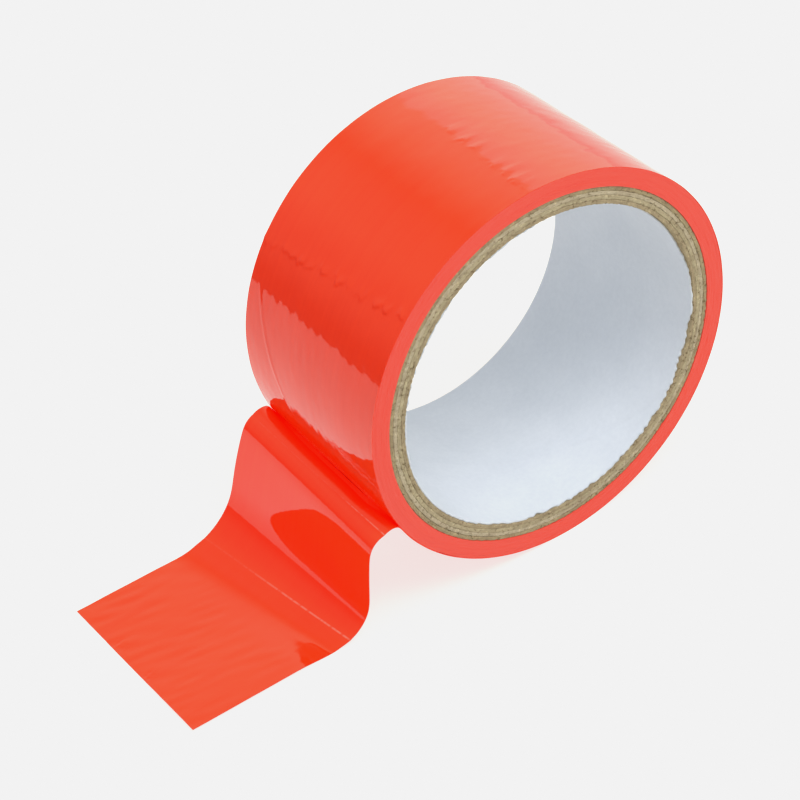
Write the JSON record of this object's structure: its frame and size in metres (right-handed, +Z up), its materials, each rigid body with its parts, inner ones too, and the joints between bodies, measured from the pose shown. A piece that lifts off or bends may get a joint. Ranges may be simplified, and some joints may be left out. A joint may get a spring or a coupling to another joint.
{
  "type": "adhesive tape roll",
  "caption": "Roll of glossy red film tape on a thick paper core, standing on its rim, with the free end peeled off, folded over and laid flat.",
  "frame": {"origin": "the middle of the line on which the roll stands, straight below its axis, on the surface", "axes": "+X along the free end and away from its tip, which lies at -X; +Y along the roll's axis; +Z up"},
  "size_m": [0.1468, 0.0555, 0.0939],
  "materials": {
    "film": "smooth, very glossy saturated red plastic film",
    "wound_film": "end face of the wound film, satin coral red with fine rings from the edges of the turns",
    "core_kraft": "rough brown kraft board with visible plies and loose fibres on the cut ends",
    "core_liner_paper": "smooth white paper, wound in a spiral with a faint seam"
  },
  "bodies": {
    "outer_film": {"outer_turn": "film", "tail_fold": "film"},
    "roll": {"core_liner": "core_liner_paper", "core_ply_1": "core_kraft", "core_ply_2": "core_kraft", "core_ply_3": "core_kraft", "core_ply_4": "core_kraft", "wound_tape": "wound_film"},
    "riser": {"tail_riser": "film", "tail_foot": "film"},
    "run": {"tail_run": "film"},
    "end_tab": {"tail_end": "film"}
  },
  "joints": [
    {"name": "roll_turn", "type": "hinge", "parent": "outer_film", "child": "roll", "pos_m": [0, 0, 0.04695], "axis": [0, 1, 0], "continuous": true},
    {"name": "tail_pull", "type": "hinge", "parent": "outer_film", "child": "riser", "pos_m": [-0.0458, 0, 0.0255], "axis": [0, 1, 0], "range_deg": [0, 65], "deforming": ["tail_fold"]},
    {"name": "tail_straighten", "type": "hinge", "parent": "riser", "child": "run", "pos_m": [-0.069, 0, 0.0147], "axis": [0, 1, 0], "range_deg": [-65, 0], "deforming": ["tail_foot"]},
    {"name": "end_lift", "type": "hinge", "parent": "run", "child": "end_tab", "pos_m": [-0.082, 0, 0.0001], "axis": [0, 1, 0], "range_deg": [0, 75]}
  ],
  "couplings": [
    {"joint": "tail_straighten", "follows": "tail_pull", "ratio": -1}
  ]
}
